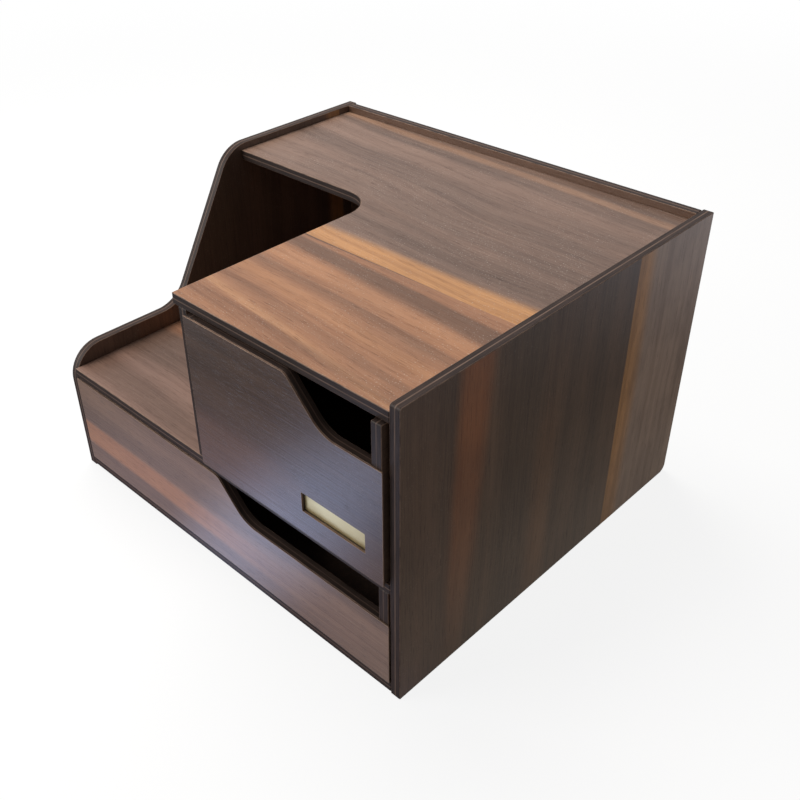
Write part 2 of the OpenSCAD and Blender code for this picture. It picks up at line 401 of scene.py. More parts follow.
@dataclass(frozen=True)
class Graph:
    """A short way to add nodes to one node tree and to join their sockets."""

    tree: bpy.types.NodeTree
    material: Material | None = None

    def put(self, socket: Socket, value: object) -> None:
        """Give an input its value.

        Args:
            socket: The input.
            value: A link, a colour, a vector or a number.
        """
        if isinstance(value, Socket):
            self.tree.links.new(value, socket)
        elif socket.type == "RGBA" and len(value) == 3:
            socket.default_value = (*value, 1.0)
        else:
            socket.default_value = value

    def node(
        self, kind: str, inputs: dict[str | int, object] | None = None, **settings: object
    ) -> bpy.types.Node:
        """Add a node.

        Args:
            kind: The node's type name.
            inputs: Value or link for each named or numbered input.
            **settings: The node's own options.

        Returns:
            The new node.
        """
        made = self.tree.nodes.new(kind)
        for name, value in settings.items():
            setattr(made, name, value)
        for key, value in (inputs or {}).items():
            self.put(made.inputs[key], value)
        return made

    def math(self, operation: str, first: object, second: object = 0.0) -> Socket:
        """Result of a Math node on two values."""
        return self.node("ShaderNodeMath", {0: first, 1: second}, operation=operation).outputs[0]

    def times(self, first: object, second: object) -> Socket:
        """Product of two values."""
        return self.math("MULTIPLY", first, second)

    def plus(self, first: object, second: object) -> Socket:
        """Sum of two values."""
        return self.math("ADD", first, second)

    def minus(self, first: object, second: object) -> Socket:
        """First value less the second."""
        return self.math("SUBTRACT", first, second)

    def length(self, vector: object) -> Socket:
        """Length of a vector."""
        return self.node("ShaderNodeVectorMath", {0: vector}, operation="LENGTH").outputs["Value"]

    def vector_math(self, operation: str, first: object, second: object) -> Socket:
        """Result of a Vector Math node on two vectors."""
        return self.node("ShaderNodeVectorMath", {0: first, 1: second}, operation=operation).outputs[0]

    def mix(self, factor: object, first: object, second: object, blend: str = "MIX") -> Socket:
        """Colour between two colours.

        Args:
            factor: 0 for the first colour and 1 for the second.
            first: The first colour.
            second: The second colour.
            blend: Name of the blending mode.

        Returns:
            The mixed colour.
        """
        inputs = {0: factor, 6: first, 7: second}
        return self.node("ShaderNodeMix", inputs, data_type="RGBA", blend_type=blend).outputs[2]

    def noise(self, vector: object, detail: float, roughness: float = 0.5) -> Socket:
        """Noise of about one cell a unit at a vector, from 0 to 1."""
        settings = {"Vector": vector, "Scale": 1.0, "Detail": detail, "Roughness": roughness}
        return self.node("ShaderNodeTexNoise", settings).outputs[0]

    def smooth(
        self, value: object, start: object, end: object, low: float = 0.0, high: float = 1.0
    ) -> Socket:
        """Value eased from low to high while the input goes from start to end."""
        inputs = {0: value, 1: start, 2: end, 3: low, 4: high}
        return self.node("ShaderNodeMapRange", inputs, interpolation_type="SMOOTHSTEP").outputs[0]

    def stretch(self, vector: object, scale: Colour) -> Socket:
        """Vector multiplied by a scale on each axis."""
        return self.vector_math("MULTIPLY", vector, scale)

    def group(self, tree: bpy.types.NodeTree, inputs: dict[str, object]) -> bpy.types.NodeOutputs:
        """Place a node group with its own values.

        Args:
            tree: The group.
            inputs: Value or link for each named input.

        Returns:
            The group's outputs.
        """
        made = self.node("ShaderNodeGroup", node_tree=tree)
        for key, value in inputs.items():
            self.put(made.inputs[key], value)
        return made.outputs


def start_group(
    name: str, inputs: dict[str, object], outputs: Sequence[str]
) -> tuple[Graph, bpy.types.NodeOutputs, bpy.types.Node]:
    """Make an empty shader node group with named sockets.

    Args:
        name: The group's name.
        inputs: Starting value of each input, a number or a vector.
        outputs: Names of the outputs, which are all numbers.

    Returns:
        A graph on the group, the values it is given, and its output node.
    """
    tree = bpy.data.node_groups.new(name, "ShaderNodeTree")
    for label, value in inputs.items():
        kind = "NodeSocketVector" if isinstance(value, tuple) else "NodeSocketFloat"
        socket = tree.interface.new_socket(name=label, in_out="INPUT", socket_type=kind)
        socket.default_value = value
    for label in outputs:
        tree.interface.new_socket(name=label, in_out="OUTPUT", socket_type="NodeSocketFloat")
    graph = Graph(tree)
    return graph, graph.node("NodeGroupInput").outputs, graph.node("NodeGroupOutput")


class Effects:
    """The shared shader node groups, each built once."""

    def __init__(self) -> None:
        """Build every group."""
        self.grain = self._grain()
        self.streak = self._streak()
        self.smudge = self._smudge()
        self.wear_and_highlight = self._wear_and_highlight()
        self.brush = self._brush()
        self.dust = self._dust()

    def _grain(self) -> bpy.types.NodeTree:
        """Walnut figure: drifting tone, growth lines, fibres and short dark pores.

        Returns:
            The node group.
        """
        inputs = {"Vector": ORIGIN, "Seed": 0.0, "Wander": 0.012}
        outputs = ("Tone", "Lines", "Fibre", "Pores", "Height", "Drift")
        graph, given, result = start_group("walnut_grain", inputs, outputs)
        shift = graph.node("ShaderNodeCombineXYZ", {0: given["Seed"], 2: given["Seed"]})
        moved = graph.vector_math("ADD", given["Vector"], shift.outputs[0])
        waves = graph.noise(graph.stretch(moved, (4.5, 11.0, 3.0)), 2.0)
        drift = graph.times(graph.minus(waves, 0.5), given["Wander"])
        sideways = graph.node("ShaderNodeCombineXYZ", {1: drift})
        bent = graph.vector_math("ADD", moved, sideways.outputs[0])
        broad = graph.noise(graph.stretch(bent, (2.2, 42.0, 4.0)), 3.0)
        lines = graph.noise(graph.stretch(bent, (3.5, 210.0, 8.0)), 3.0, 0.55)
        fibre = graph.noise(graph.stretch(bent, (22.0, 1300.0, 30.0)), 3.0, 0.6)
        dashes = graph.noise(graph.stretch(bent, (95.0, 2300.0, 60.0)), 1.0)
        pores = graph.smooth(dashes, 0.6, 0.74)
        ridges = graph.noise(graph.stretch(bent, (7.0, 620.0, 10.0)), 1.0)
        raised = graph.plus(graph.times(fibre, 0.5), graph.times(ridges, 0.9))
        height = graph.minus(raised, graph.times(pores, 0.7))
        self._give(graph, result, Tone=broad, Lines=lines, Fibre=fibre)
        self._give(graph, result, Pores=pores, Height=height, Drift=drift)
        return graph.tree

    def _streak(self) -> bpy.types.NodeTree:
        """Mask of one streak, soft on either side and along its length: mostly other-coloured wood, and in
        two places painted shadow and painted reflection.

        Returns:
            The node group.
        """
        inputs = {
            "Along": 0.0,
            "Across": 0.0,
            "Centre": 0.0,
            "Half Width": 0.01,
            "Near Softness": 0.004,
            "Far Softness": 0.004,
            "Slope": 0.0,
            "Widening": 0.0,
            "Fade Start": 10.0,
            "Fade End": 11.0,
        }
        graph, given, result = start_group("wood_and_painted_light_streak", inputs, ("Mask",))
        leaned = graph.times(given["Along"], given["Slope"])
        offset = graph.minus(graph.minus(given["Across"], given["Centre"]), leaned)
        wider = graph.times(given["Along"], given["Widening"])
        half = graph.plus(given["Half Width"], wider)
        near_edge = graph.times(half, -1.0)
        near_start = graph.minus(near_edge, given["Near Softness"])
        far_end = graph.plus(half, given["Far Softness"])
        rise = graph.smooth(offset, near_start, near_edge)
        fall = graph.smooth(offset, half, far_end, 1.0, 0.0)
        length = graph.smooth(given["Along"], given["Fade Start"], given["Fade End"], 1.0, 0.0)
        mask = graph.times(graph.times(rise, fall), length)
        self._give(graph, result, Mask=mask)
        return graph.tree

    def _smudge(self) -> bpy.types.NodeTree:
        """Uneven gloss of a hand-wiped lacquer: broad clouds and faint fine haze.

        Returns:
            The node group.
        """
        inputs = {"Vector": ORIGIN, "Level": 0.4, "Amount": 0.08}
        graph, given, result = start_group("lacquer_smudge", inputs, ("Roughness",))
        cloud = graph.noise(graph.stretch(given["Vector"], (14.0, 14.0, 14.0)), 3.0)
        haze = graph.noise(graph.stretch(given["Vector"], (160.0, 160.0, 160.0)), 2.0)
        both = graph.plus(graph.times(cloud, 0.7), graph.times(haze, 0.3))
        change = graph.times(graph.minus(both, 0.5), given["Amount"])
        self._give(graph, result, Roughness=graph.plus(given["Level"], change))
        return graph.tree

    def _wear_and_highlight(self) -> bpy.types.NodeTree:
        """Wear and painted highlight of an eased edge: how near a point is to either arris, broken up along
        the run.

        Returns:
            The node group.
        """
        inputs = {"Share": 0.5, "Reach": 0.08, "Vector": ORIGIN}
        graph, given, result = start_group("arris_wear_and_highlight", inputs, ("Wear", "Depth"))
        middle = graph.math("ABSOLUTE", graph.minus(given["Share"], 0.5))
        start = graph.minus(0.5, given["Reach"])
        near = graph.smooth(middle, start, 0.5)
        patchy = graph.noise(graph.stretch(given["Vector"], (120.0, 120.0, 120.0)), 3.0)
        worn_and_highlit = graph.times(near, graph.smooth(patchy, 0.3, 0.6, 0.35, 1.0))
        self._give(graph, result, Wear=worn_and_highlit, Depth=middle)
        return graph.tree

    def _brush(self) -> bpy.types.NodeTree:
        """Fine straight brush lines along the first axis.

        Returns:
            The node group.
        """
        inputs = {"Vector": ORIGIN}
        graph, given, result = start_group("brush_lines", inputs, ("Lines", "Tarnish"))
        lines = graph.noise(graph.stretch(given["Vector"], (60.0, 40.0, 5200.0)), 3.0, 0.65)
        tarnish = graph.noise(graph.stretch(given["Vector"], (30.0, 30.0, 60.0)), 3.0)
        self._give(graph, result, Lines=lines, Tarnish=tarnish)
        return graph.tree

    def _dust(self) -> bpy.types.NodeTree:
        """Sparse pale specks, thicker in some places than in others.

        Returns:
            The node group.
        """
        inputs = {"Vector": ORIGIN}
        graph, given, result = start_group("dust_specks", inputs, ("Specks",))
        grit = graph.noise(graph.stretch(given["Vector"], (1100.0, 1100.0, 1100.0)), 0.0)
        patches = graph.noise(graph.stretch(given["Vector"], (25.0, 25.0, 25.0)), 2.0)
        sharp = graph.smooth(grit, 0.70, 0.80)
        self._give(graph, result, Specks=graph.times(sharp, graph.smooth(patches, 0.35, 0.6, 0.25, 1.0)))
        return graph.tree

    def gloss(self, graph: Graph, place: Socket, level: float, amount: float) -> Socket:
        """Roughness that wavers about a level by an amount."""
        values = {"Vector": place, "Level": level, "Amount": amount}
        return graph.group(self.smudge, values)["Roughness"]

    @staticmethod
    def _give(graph: Graph, result: bpy.types.Node, **sockets: Socket) -> None:
        """Join sockets to the group's outputs by name."""
        for label, socket in sockets.items():
            graph.put(result.inputs[label], socket)


# Finishes


class Grain(Enum):
    """The axes along the grain, across it and into the board."""

    ACROSS_TOP = (0, 1, 2)
    UP_SIDE = (2, 1, 0)
    ACROSS_FRONT = (0, 2, 1)
    DEEP_SIDE = (1, 2, 0)


@dataclass(frozen=True)
class Tones:
    """The colours of one piece of veneer, from its dark lines to its light fibres."""

    dark: Colour
    mid: Colour
    light: Colour


@dataclass(frozen=True)
class Streak:
    """A band of other colour, measured in metres from the board's low corner: mostly other-coloured wood,
    but the dark band on the shelf is painted shadow and the warm patch on the upper drawer's face is a
    painted reflection.
    """

    centre: float
    half_width: float
    colour: Colour
    strength: float = 0.8
    near_softness: float = 0.005
    far_softness: float = 0.005
    slope: float = 0.0
    widening: float = 0.0
    fade: Span = (10.0, 11.0)

    def mask(self, graph: Graph, effects: Effects, along: Socket, across: Socket) -> Socket:
        """Mask of the streak on a veneer.

        Args:
            graph: The veneer's graph.
            effects: The shared node groups.
            along: Distance along the grain.
            across: Distance across it.

        Returns:
            The mask, 1 in the streak and 0 outside it.
        """
        values = {
            "Along": along,
            "Across": across,
            "Centre": self.centre,
            "Half Width": self.half_width,
            "Near Softness": self.near_softness,
            "Far Softness": self.far_softness,
            "Slope": self.slope,
            "Widening": self.widening,
            "Fade Start": self.fade[0],
            "Fade End": self.fade[1],
        }
        return graph.group(effects.streak, values)["Mask"]


def start_material(name: str) -> tuple[Graph, bpy.types.Node, Socket]:
    """Make an empty node material.

    Args:
        name: The material's name.

    Returns:
        A graph on its tree, its Principled BSDF, and the place on the object.
    """
    material = bpy.data.materials.new(name)
    material.use_nodes = True
    graph = Graph(material.node_tree, material)
    place = graph.node("ShaderNodeTexCoord").outputs["Object"]
    return graph, material.node_tree.nodes["Principled BSDF"], place


def finish_material(
    graph: Graph, shader: bpy.types.Node, colour: Socket, rough: Socket, height: Socket, relief: Span
) -> Material:
    """Join a surface's colour, roughness and relief to its shader.

    Args:
        graph: The material's graph.
        shader: Its Principled BSDF.
        colour: The base colour.
        rough: The roughness.
        height: Height of the relief, from 0 to 1.
        relief: Strength of the relief and its depth in metres.

    Returns:
        The finished material.
    """
    bump = graph.node("ShaderNodeBump", {"Strength": relief[0], "Distance": relief[1], "Height": height})
    for label, socket in (("Base Color", colour), ("Roughness", rough), ("Normal", bump.outputs[0])):
        graph.put(shader.inputs[label], socket)
    return graph.material


@dataclass(frozen=True)
class Veneer:
    """Walnut veneer under a satin lacquer."""

    name: str
    grain: Grain
    corner: Colour
    tones: Tones
    seed: float
    streaks: tuple[Streak, ...] = ()
    wander: float = 0.012
    lean: float = 0.0
    clouds: float = 0.3
    dust: float = 0.1
    relief: float = 0.12
    roughness: float = 0.4
    coat: float = 0.2
    coat_roughness: float = 0.32

    def material(self, effects: Effects) -> Material:
        """Make the material.

        Args:
            effects: The shared node groups.

        Returns:
            The veneer's material.
        """
        graph, shader, place = start_material(self.name)
        local = graph.vector_math("SUBTRACT", place, self.corner)
        axes = graph.node("ShaderNodeSeparateXYZ", {0: local}).outputs
        along, across, through = (axes[i] for i in self.grain.value)
        leaned = graph.minus(across, graph.times(along, self.lean))
        vector = graph.node("ShaderNodeCombineXYZ", {0: along, 1: leaned, 2: through}).outputs[0]
        values = {"Vector": vector, "Seed": self.seed, "Wander": self.wander}
        figure = graph.group(effects.grain, values)
        colour = graph.mix(graph.smooth(figure["Tone"], 0.36, 0.64), self.tones.dark, self.tones.mid)
        drifted = graph.plus(across, graph.times(figure["Drift"], STREAK_DRIFT))
        fibre = graph.smooth(figure["Fibre"], 0.3, 0.7)
        for streak in self.streaks:
            mask = streak.mask(graph, effects, along, drifted)
            broken = graph.times(mask, graph.plus(graph.times(fibre, 0.3), 0.82))
            colour = graph.mix(graph.times(broken, streak.strength), colour, streak.colour)
        mottle = graph.noise(graph.stretch(vector, (16.0, 30.0, 8.0)), 4.0, 0.6)
        cloudy = graph.smooth(mottle, 0.38, 0.62, 0.0, self.clouds)
        colour = graph.mix(cloudy, colour, CLOUD_TINT, "MULTIPLY")
        lines = graph.smooth(figure["Lines"], 0.4, 0.68, 0.0, LINE_SHARE)
        colour = graph.mix(lines, colour, LINE_TINT, "MULTIPLY")
        colour = graph.mix(graph.times(fibre, FIBRE_SHARE), colour, self.tones.light)
        colour = graph.mix(graph.times(figure["Pores"], PORE_SHARE), colour, PORE_TINT, "MULTIPLY")
        specks = graph.group(effects.dust, {"Vector": place})["Specks"]
        colour = graph.mix(graph.times(specks, self.dust), colour, DUST)
        gloss = effects.gloss(graph, place, self.roughness, 0.12)
        rough = graph.plus(gloss, graph.times(figure["Pores"], PORE_DULLNESS))
        shader.inputs["Coat Weight"].default_value = self.coat
        shader.inputs["Coat Roughness"].default_value = self.coat_roughness
        return finish_material(graph, shader, colour, rough, figure["Height"], (self.relief, GRAIN_DEPTH))


@dataclass(frozen=True)
class CutEdge:
    """Stained edge of a ply board: dark plies, a paler core line, and pale arrises that are partly wear and
    partly a painted highlight.
    """

    name: str
    plies: Colour = linear(66, 52, 46)
    core: Colour = linear(136, 112, 98)
    glue: Colour = linear(32, 25, 22)
    # Pale arris colour: partly wear, partly a painted highlight.
    worn_and_highlit: Colour = linear(166, 136, 116)
    core_half: float = 0.035
    core_strength: float = 0.6
    glue_depth: float = 0.36
    wear_and_highlight: float = 0.6
    wear_and_highlight_reach: float = 0.07
    specular: float = 0.3

    def material(self, effects: Effects) -> Material:
        """Make the material.

        Args:
            effects: The shared node groups.

        Returns:
            The edge's material.
        """
        graph, shader, place = start_material(self.name)
        run = graph.node("ShaderNodeUVMap", uv_map=EDGE_UV).outputs[0]
        share = graph.node("ShaderNodeAttribute", attribute_name=SHARE_ATTRIBUTE).outputs["Fac"]
        worn_and_highlit = graph.group(effects.wear_and_highlight, {"Share": share, "Reach": self.wear_and_highlight_reach, "Vector": place})
        fibre = graph.noise(graph.stretch(run, (55.0, 2600.0, 1.0)), 3.0, 0.6)
        cloud = graph.noise(graph.stretch(place, (35.0, 35.0, 35.0)), 3.0)
        colour = graph.mix(graph.smooth(fibre, 0.35, 0.7), self.plies, self.glue)
        colour = graph.mix(graph.smooth(cloud, 0.35, 0.7, 0.0, 0.4), colour, self.glue)
        core = graph.smooth(worn_and_highlit["Depth"], self.core_half, self.core_half * 2, self.core_strength, 0.0)
        broken = graph.times(core, graph.smooth(cloud, 0.3, 0.6, 0.5, 1.0))
        colour = graph.mix(broken, colour, self.core)
        layer = graph.math("ABSOLUTE", graph.minus(worn_and_highlit["Depth"], self.glue_depth))
        colour = graph.mix(graph.smooth(layer, 0.0, 0.03, 0.6, 0.0), colour, self.glue)
        # Paler along both arrises: partly wear, partly a painted highlight.
        colour = graph.mix(graph.times(worn_and_highlit["Wear"], self.wear_and_highlight), colour, self.worn_and_highlit)
        gloss = effects.gloss(graph, place, 0.5, 0.15)
        shader.inputs["Specular IOR Level"].default_value = self.specular
        return finish_material(graph, shader, colour, gloss, fibre, (0.4, 0.0001))


@dataclass(frozen=True)
class ThinBoard:
    """Thin pressed board of the drawer bottoms: smooth, dark and finely speckled."""

    name: str
    base: Colour = linear(78, 62, 54)
    fleck: Colour = linear(112, 90, 76)
    cloud: Colour = (0.03, 0.022, 0.018)

    def material(self, effects: Effects) -> Material:
        """Make the material.

        Args:
            effects: The shared node groups.

        Returns:
            The thin board's material.
        """
        graph, shader, place = start_material(self.name)
        fleck = graph.noise(graph.stretch(place, (900.0, 900.0, 900.0)), 3.0, 0.7)
        cloud = graph.noise(graph.stretch(place, (30.0, 30.0, 30.0)), 3.0)
        colour = graph.mix(graph.smooth(fleck, 0.45, 0.7, 0.0, 0.7), self.base, self.fleck)
        colour = graph.mix(graph.smooth(cloud, 0.35, 0.7, 0.0, 0.3), colour, self.cloud)
        gloss = effects.gloss(graph, place, 0.48, 0.12)
        return finish_material(graph, shader, colour, gloss, fleck, (0.2, 0.00005))


@dataclass(frozen=True)
class BrushedBrass:
    """Pale brass, brushed along its length, with a little tarnish."""

    name: str
    bright: Colour = linear(244, 226, 172)
    dull: Colour = linear(208, 186, 130)
    metallic: float = 0.85

    def material(self, effects: Effects) -> Material:
        """Make the material.

        Args:
            effects: The shared node groups.

        Returns:
            The brass plate's material.
        """
        graph, shader, place = start_material(self.name)
        brushed = graph.group(effects.brush, {"Vector": place})
        colour = graph.mix(graph.smooth(brushed["Tarnish"], 0.35, 0.7), self.bright, self.dull)
        colour = graph.mix(graph.smooth(brushed["Lines"], 0.4, 0.7, 0.0, 0.35), colour, self.dull)
        gloss = effects.gloss(graph, place, 0.42, 0.2)
        shader.inputs["Metallic"].default_value = self.metallic
        return finish_material(graph, shader, colour, gloss, brushed["Lines"], (0.3, 0.00005))


# Tints and shares of the veneer's fine figure
CLOUD_TINT = (0.62, 0.60, 0.60)
LINE_TINT = (0.62, 0.56, 0.52)
LINE_SHARE = 0.5
FIBRE_SHARE = 0.22
PORE_TINT = (0.35, 0.3, 0.28)
PORE_SHARE = 0.6
PORE_DULLNESS = 0.12
GRAIN_DEPTH = 0.00025
STREAK_DRIFT = 0.35
DUST = (0.60, 0.54, 0.48)

# The veneer's tones, from the dark heartwood of the sides to the warm front of the top
HEARTWOOD = Tones(linear(92, 68, 54), linear(118, 88, 70), linear(150, 118, 94))
GREY_HEART = Tones(linear(99, 78, 67), linear(126, 100, 86), linear(160, 134, 116))
GOLDEN = linear(190, 136, 82)
ORANGE_BROWN = linear(150, 98, 62)
DARK_VEIN = linear(78, 58, 48)
UMBER = linear(82, 66, 52)


# Placing


@dataclass(frozen=True)
class NodeBox:
    """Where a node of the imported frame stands, in metres."""

    low: Vector
    high: Vector

    @classmethod
    def of(cls, node: str) -> NodeBox:
        """Box of a node by name."""
        return cls(*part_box(node))

    def span(self, axis: int) -> Span:
        """Lowest and highest value on an axis."""
        return self.low[axis], self.high[axis]


def plain_board(
    node: str, plane: Plane, arris: float = BOARD_ARRIS, radius: float = CORNER_RADIUS
) -> Board:
    """Rectangular board that fills its node's box.

    Args:
        node: The node's name.
        plane: Which way the board lies.
        arris: Radius of its eased arrises.
        radius: Radius of its corners.

    Returns:
        The board, not yet built.
    """
    box = NodeBox.of(node)
    a, b, through = (box.span(axis) for axis in plane.value)
    return Board(f"{node}_look", plane, Outline.rectangle(a, b, radius), through, arris)


def settle(piece: bpy.types.Object, body: str, slot: str) -> None:
    """Let a finished piece stand for the node of its own name.

    Args:
        piece: The finished piece.
        body: The body that it moves with.
        slot: The record's material slot.
    """
    node = piece.name.removesuffix("_look")
    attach(piece, body)
    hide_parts(node)
    LOG.info("%s: %d faces, rides on %s, slot %s", piece.name, len(piece.data.polygons), body, slot)


# Case


@dataclass
class Case:
    """The fixed case: two sides, back, bottom, shelf, divider and the notched top."""

    effects: Effects
    edge: Material
    body: str = "case"
    right_front_radius: float = 0.002
    rear_foot_radius: float = 0.006
    slope_top: float = 0.160
    slope_angle: float = math.radians(60)
    slope_radius: float = 0.028
    lip_radius: float = 0.025
    lip_height: float = 0.0132
    notch_depth: float = 0.1705
    notch_radius: float = 0.025
    notch_overhang: float = 0.0051
    left: NodeBox = field(init=False)
    right: NodeBox = field(init=False)
    back: NodeBox = field(init=False)
    inside: Span = field(init=False)

    def build(self) -> None:
        """Make and dress every board of the case."""
        self.left = NodeBox.of("left_side_panel")
        self.right = NodeBox.of("right_side_panel")
        self.back = NodeBox.of("back_panel")
        self.inside = (self.left.high.x, self.right.low.x)
        self._side_panels()
        self._back_panel()
        self._level_boards()
        self._divider()
        self._top_panel()

    def _add(self, board: Board, veneer: Veneer) -> None:
        """Build one board with its own veneer and settle it on the case."""
        piece = board.build(veneer.material(self.effects), self.edge)
        settle(piece, self.body, BOARD_SLOT)

    def _side_panels(self) -> None:
        """Right side: a plain tall board. Left side: a low lip, a slope and the full height."""
        y, z = self.right.span(1), self.right.span(2)
        foot = self.rear_foot_radius
        right = Outline.through(
            [
                Corner(y[0], z[0]),
                Corner(y[1], z[0], foot),
                Corner(y[1], z[1]),
                Corner(y[0], z[1], self.right_front_radius),
            ]
        )
        veneer = Veneer(
            "walnut_right_side",
            Grain.UP_SIDE,
            tuple(self.right.low),
            Tones(linear(96, 72, 54), linear(122, 92, 70), linear(152, 120, 90)),
            seed=3.1,
            wander=0.016,
            clouds=0.55,
            streaks=(
                Streak(0.262, 0.042, linear(198, 168, 148), 0.92, 0.010, 0.02),
                Streak(
                    0.045,
                    0.004,
                    linear(176, 104, 58),
                    0.8,
                    0.012,
                    0.014,
                    slope=0.06,
                    widening=0.01,
                    fade=(0.2, -0.06),
                ),
                Streak(0.020, 0.016, linear(98, 74, 62), 0.5, 0.010, 0.010),
                Streak(0.126, 0.004, linear(150, 104, 66), 0.5, 0.016, 0.014, fade=(0.09, 0.17)),
                Streak(0.098, 0.016, UMBER, 0.5, 0.012, 0.012),
                Streak(0.175, 0.022, UMBER, 0.35, 0.016, 0.016),
                Streak(0.2145, 0.004, linear(224, 158, 90), 0.85, 0.0012, 0.014),
            ),
        )
        self._add(Board("right_side_panel_look", Plane.SIDEWAYS, right, self.right.span(0)), veneer)
        y, z = self.left.span(1), self.left.span(2)
        slope_y = y[0] + self.slope_top
        lip_z = NodeBox.of("shelf").high.z + self.lip_height
        slope_foot = slope_y - (z[1] - lip_z) / math.tan(self.slope_angle)
        left = Outline.through(
            [
                Corner(y[0], z[0]),
                Corner(y[1], z[0], foot),
                Corner(y[1], z[1]),
                Corner(slope_y, z[1], self.slope_radius),
                Corner(slope_foot, lip_z, self.slope_radius),
                Corner(y[0], lip_z, self.lip_radius),
            ]
        )
        # Painted shade: the left side board gets darker tones than the other boards, to darken the inside
        # of the cubby, which is in shade.
        veneer = Veneer(
            "walnut_left_side",
            Grain.UP_SIDE,
            tuple(self.left.low),
            Tones(linear(72, 55, 46), linear(94, 72, 60), linear(124, 98, 80)),
            seed=7.7,
            wander=0.01,
            streaks=(
                Streak(0.070, 0.010, ORANGE_BROWN, 0.35, 0.010, 0.016, slope=0.03),
                Streak(0.130, 0.018, UMBER, 0.5, 0.014, 0.014),
                Streak(0.272, 0.004, GOLDEN, 0.75, 0.010, 0.002, slope=-0.01),
            ),
        )
        self._add(Board("left_side_panel_look", Plane.SIDEWAYS, left, self.left.span(0)), veneer)

    def _back_panel(self) -> None:
        """Back board between the two sides."""
        veneer = Veneer(
            "walnut_back",
            Grain.ACROSS_FRONT,
            tuple(self.back.low),
            HEARTWOOD,
            seed=11.3,
            streaks=(
                Streak(0.060, 0.006, GOLDEN, 0.7, 0.002, 0.012, slope=-0.01),
                Streak(0.120, 0.020, UMBER, 0.5, 0.012, 0.012, slope=0.02),
                Streak(0.165, 0.010, ORANGE_BROWN, 0.6, 0.010, 0.010, slope=0.03),
            ),
        )
        self._add(plain_board("back_panel", Plane.FRONTAL), veneer)

    def _level_boards(self) -> None:
        """Bottom and shelf, between the sides and up to the back."""
        depth = (self.left.low.y, self.back.low.y)
        bottom = NodeBox.of("bottom_panel")
        shelf = NodeBox.of("shelf")
        outline = Outline.rectangle(self.inside, depth)
        plain = Veneer("walnut_bottom", Grain.ACROSS_TOP, tuple(bottom.low), HEARTWOOD, seed=15.9)
        self._add(Board("bottom_panel_look", Plane.LEVEL, outline, bottom.span(2)), plain)
        veneer = Veneer(
            "walnut_shelf",
            Grain.ACROSS_TOP,
            tuple(shelf.low),
            Tones(linear(98, 75, 64), linear(123, 96, 84), linear(156, 128, 112)),
            seed=19.4,
            streaks=(
                # Painted shadow: this first band is a dark patch by the left lip, fading out across the
                # shelf, where the left side board shades it.
                Streak(0.125, 0.055, linear(72, 54, 43), 0.8, 0.05, 0.02, slope=0.1, fade=(0.02, 0.12)),
                Streak(0.095, 0.008, linear(164, 112, 80), 0.5, 0.012, 0.012, slope=0.05),
                Streak(0.060, 0.004, DARK_VEIN, 0.35, 0.006, 0.006, slope=0.03),
            ),
        )
        self._add(Board("shelf_look", Plane.LEVEL, outline, shelf.span(2)), veneer)

    def _divider(self) -> None:
        """Upright board between the cubby and the upper drawer."""
        box = NodeBox.of("divider")
        height = (NodeBox.of("shelf").high.z, NodeBox.of("top_panel").low.z)
        outline = Outline.rectangle((self.left.low.y, self.back.low.y), height)
        veneer = Veneer("walnut_divider", Grain.DEEP_SIDE, tuple(box.low), HEARTWOOD, seed=23.8)
        self._add(Board("divider_look", Plane.SIDEWAYS, outline, box.span(0)), veneer)

    def _top_panel(self) -> None:
        """Top board, with the notch above the cubby cut from its front left."""
        box = NodeBox.of("top_panel")
        notch_x = NodeBox.of("divider").low.x - self.notch_overhang
        front, rear = self.left.low.y, self.back.low.y
        notch_y = front + self.notch_depth
        outline = Outline.through(
            [
                Corner(notch_x, front),
                Corner(self.inside[1], front),
                Corner(self.inside[1], rear),
                Corner(self.inside[0], rear),
                Corner(self.inside[0], notch_y),
                Corner(notch_x, notch_y, self.notch_radius),
            ]
        )
        veneer = Veneer(
            "walnut_top",
            Grain.ACROSS_TOP,
            (notch_x, front, box.low.z),
            GREY_HEART,
            seed=27.2,
            wander=0.03,
            lean=-0.07,
            dust=0.4,
            streaks=(
                Streak(0.045, 0.058, linear(162, 112, 78), 0.87, 0.02, 0.006),
                Streak(0.098, 0.0025, linear(84, 60, 46), 0.78, 0.010, 0.004, slope=-0.075, widening=0.012),
                Streak(0.080, 0.004, linear(182, 130, 92), 0.55, 0.006, 0.006, slope=-0.085),
                Streak(0.066, 0.0015, linear(96, 66, 48), 0.5, 0.009, 0.003, slope=-0.08),
                Streak(0.052, 0.003, linear(180, 128, 88), 0.5, 0.005, 0.005, slope=-0.10),
                Streak(0.040, 0.001, linear(104, 70, 50), 0.4, 0.008, 0.002, slope=-0.12),
                Streak(0.026, 0.001, linear(196, 146, 104), 0.5, 0.0015, 0.006, slope=-0.13),
                Streak(0.014, 0.002, linear(112, 74, 52), 0.5, 0.006, 0.004, slope=-0.03),
                Streak(0.1055, 0.0006, linear(84, 58, 44), 0.75, 0.0008, 0.0008),
                Streak(0.112, 0.0055, linear(198, 142, 88), 0.9, 0.0008, 0.010, widening=0.012),
                Streak(0.268, 0.004, DARK_VEIN, 0.3, 0.008, 0.008, slope=-0.06),
                Streak(0.275, 0.002, linear(180, 136, 104), 0.4, 0.004, 0.004, slope=-0.05),
                Streak(0.228, 0.006, DARK_VEIN, 0.12, 0.010, 0.010, slope=-0.03),
            ),
        )
        self._add(Board("top_panel_look", Plane.LEVEL, outline, box.span(2)), veneer)


# Drawers


@dataclass(frozen=True)
class FingerCut:
    """Cut-out at the right end of a drawer's front, in metres."""

    run: float
    depth: float
    angle: float = math.radians(46)
    top_radius: float = 0.008
    floor_radius: float = 0.024


@dataclass(frozen=True)
class LabelWindow:
    """Window in a drawer's face, with a bare plate at its bottom."""

    across: Span
    height: Span
    radius: float = 0.0005


